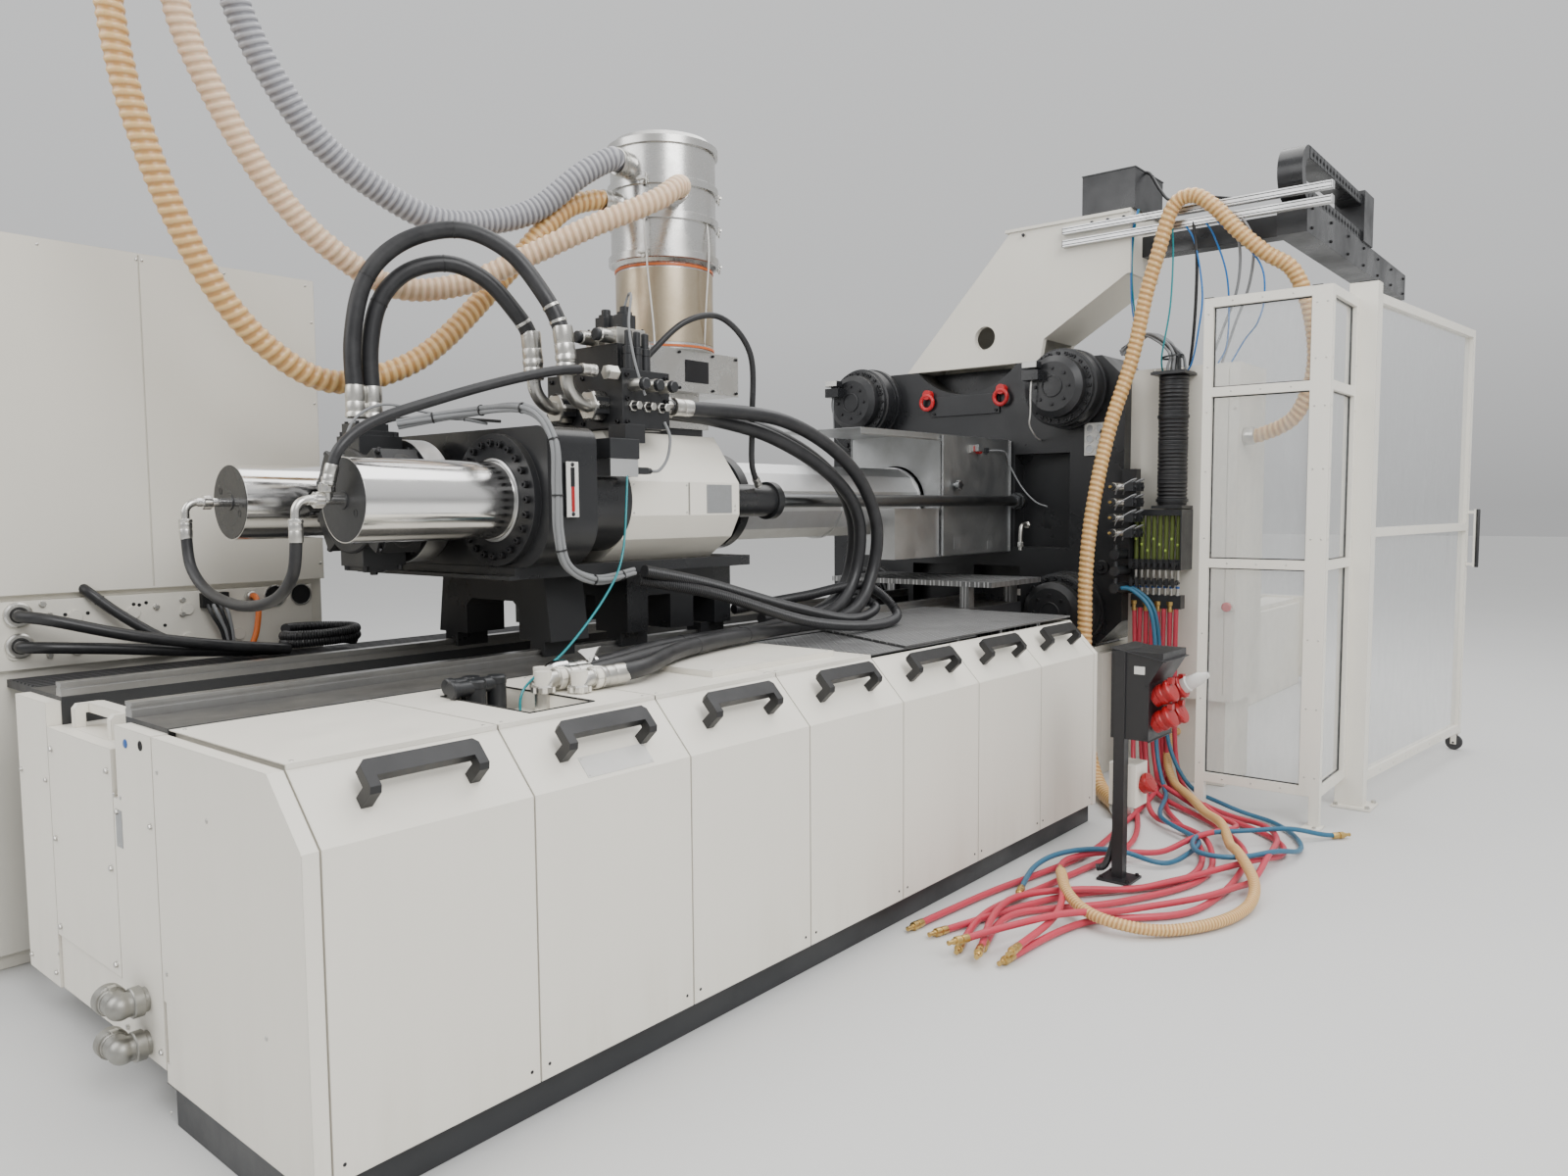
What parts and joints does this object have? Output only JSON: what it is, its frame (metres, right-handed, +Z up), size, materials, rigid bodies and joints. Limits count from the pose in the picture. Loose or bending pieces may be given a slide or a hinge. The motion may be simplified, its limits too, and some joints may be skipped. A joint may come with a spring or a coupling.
{
  "type": "injection moulding machine",
  "caption": "Large two-platen horizontal injection moulding machine with injection unit, panelled bed, clamp unit, guards and cabinets.",
  "frame": {"origin": "on the floor below the middle of the machine's bounding box", "axes": "+X from the injection end to the clamp, +Y away from the operator side, +Z up"},
  "size_m": [9.983, 4.171, 3.69],
  "materials": {
    "alu_ribbed": "ribbed aluminium jacket",
    "battery_dark": "dark water manifolds and fittings",
    "beam_dark": "dark painted beam and chain",
    "button_red": "red mushroom button",
    "cabinet_white": "satin powder coat",
    "cast_black": "semi-gloss black casting paint",
    "chrome_rod": "hard chrome plating",
    "conduit_black": "black corrugated plastic",
    "cover_white": "satin powder coat, warm off-white",
    "dark_steel": "blackened steel rod",
    "eye_red": "red painted forging",
    "guard_clear": "clear polycarbonate sheet",
    "guard_white": "powder coated profile",
    "handle_black": "fine-grained black grip",
    "hopper_steel": "polished stainless sheet",
    "hose_black": "black hydraulic hose",
    "hose_red": "red water hose",
    "hose_tan": "tan spiral hose",
    "mat_dark": "ribbed dark mat on a grating",
    "rail_steel": "ground and oiled steel",
    "sheet_steel": "stainless sheet",
    "socket_black": "black box with red sockets",
    "tool_steel": "turned steel",
    "tread_steel": "worn chequer and perforated plate",
    "wheel_black": "black wheel"
  },
  "bodies": {
    "machine": {"bed_frame": "cast_black", "bed_rails": "rail_steel", "end_cover": "cover_white", "top_deck": "cover_white", "tread_plates": "tread_steel", "walkway": "mat_dark", "carriage_rods": "dark_steel", "purge_guard": "sheet_steel", "fixed_platen": "cast_black", "lock_cylinders": "cast_black", "lifting_eyes": "eye_red", "tie_bars": "rail_steel", "clamp_bed": "cabinet_white", "robot_console": "cabinet_white", "robot_beam": "beam_dark", "operator_cabinet": "cabinet_white", "cable_conduit": "conduit_black", "water_battery": "battery_dark", "guard_frame": "guard_white", "guard_glazing": "guard_clear", "socket_post": "socket_black", "far_cabinet": "cabinet_white", "supply_hoses": "hose_black", "material_hoses": "hose_tan", "water_hoses": "hose_red"},
    "cover_1": {"door_1": "cover_white", "handle_1": "handle_black"},
    "cover_2": {"door_2": "cover_white", "handle_2": "handle_black"},
    "cover_3": {"door_3": "cover_white", "handle_3": "handle_black"},
    "cover_4": {"door_4": "cover_white", "handle_4": "handle_black"},
    "cover_5": {"door_5": "cover_white", "handle_5": "handle_black"},
    "cover_6": {"door_6": "cover_white", "handle_6": "handle_black"},
    "cover_7": {"door_7": "cover_white", "handle_7": "handle_black"},
    "unit": {"carriage_base": "cast_black", "cylinder_housing": "cast_black", "drive_motor": "cast_black", "drive_cover": "cover_white", "valve_manifold": "cast_black", "bell_casting": "cast_black", "barrel": "tool_steel", "barrel_jacket": "alu_ribbed", "hopper": "hopper_steel", "unit_hoses": "hose_black", "pressure_hose": "hose_black"},
    "injector": {"plungers": "chrome_rod", "cross_hose": "hose_black"},
    "screw_shaft": {"screw": "tool_steel"},
    "purge_slide": {"purge_door": "sheet_steel"},
    "clamp_plate": {"moving_platen": "cast_black"},
    "ejector_plate": {"ejector": "tool_steel"},
    "gate": {"gate_frame": "guard_white", "gate_glazing": "guard_clear"},
    "gate_roller": {"gate_wheel": "wheel_black"},
    "stop_button": {"emergency_stop": "button_red"}
  },
  "joints": [
    {"name": "cover_1_tilt", "type": "hinge", "parent": "machine", "child": "cover_1", "pos_m": [-4.5235, -0.79854, 0.122], "axis": [1, 0, 0], "range_deg": [0, 24]},
    {"name": "cover_2_tilt", "type": "hinge", "parent": "machine", "child": "cover_2", "pos_m": [-3.9235, -0.79854, 0.122], "axis": [1, 0, 0], "range_deg": [0, 24]},
    {"name": "cover_3_tilt", "type": "hinge", "parent": "machine", "child": "cover_3", "pos_m": [-3.3235, -0.79854, 0.122], "axis": [1, 0, 0], "range_deg": [0, 24]},
    {"name": "cover_4_tilt", "type": "hinge", "parent": "machine", "child": "cover_4", "pos_m": [-2.7235, -0.79854, 0.122], "axis": [1, 0, 0], "range_deg": [0, 24]},
    {"name": "cover_5_tilt", "type": "hinge", "parent": "machine", "child": "cover_5", "pos_m": [-2.1235, -0.79854, 0.122], "axis": [1, 0, 0], "range_deg": [0, 24]},
    {"name": "cover_6_tilt", "type": "hinge", "parent": "machine", "child": "cover_6", "pos_m": [-1.5235, -0.79854, 0.122], "axis": [1, 0, 0], "range_deg": [0, 24]},
    {"name": "cover_7_tilt", "type": "hinge", "parent": "machine", "child": "cover_7", "pos_m": [-0.9235, -0.79854, 0.122], "axis": [1, 0, 0], "range_deg": [0, 24]},
    {"name": "unit_slide", "type": "slide", "parent": "machine", "child": "unit", "axis": [1, 0, 0], "range_m": [-0.4, 0], "deforming": ["supply_hoses", "material_hoses"]},
    {"name": "injection_slide", "type": "slide", "parent": "unit", "child": "injector", "axis": [1, 0, 0], "range_m": [0, 0.48], "deforming": ["pressure_hose"]},
    {"name": "screw_turn", "type": "hinge", "parent": "injector", "child": "screw_shaft", "pos_m": [-3.1135, 0.57346, 1.715], "axis": [1, 0, 0], "continuous": true},
    {"name": "purge_door_slide", "type": "slide", "parent": "machine", "child": "purge_slide", "axis": [1, 0, 0], "range_m": [-0.8, 0]},
    {"name": "platen_slide", "type": "slide", "parent": "machine", "child": "clamp_plate", "axis": [1, 0, 0], "range_m": [-1.2, 0]},
    {"name": "ejector_slide", "type": "slide", "parent": "clamp_plate", "child": "ejector_plate", "axis": [1, 0, 0], "range_m": [-0.22, 0]},
    {"name": "gate_hinge", "type": "hinge", "parent": "machine", "child": "gate", "pos_m": [0.7035, -1.80954, 1.5], "axis": [0, 0, 1], "range_deg": [-84, 6]},
    {"name": "gate_roll", "type": "hinge", "parent": "gate", "child": "gate_roller", "pos_m": [2.57121, -2.00585, 0.05], "axis": [0.9945, -0.1045, 0], "continuous": true},
    {"name": "stop_press", "type": "slide", "parent": "machine", "child": "stop_button", "axis": [1, 0, 0], "range_m": [0, 0.006], "stiffness_N_per_m": 900, "springref_m": -0.002}
  ]
}
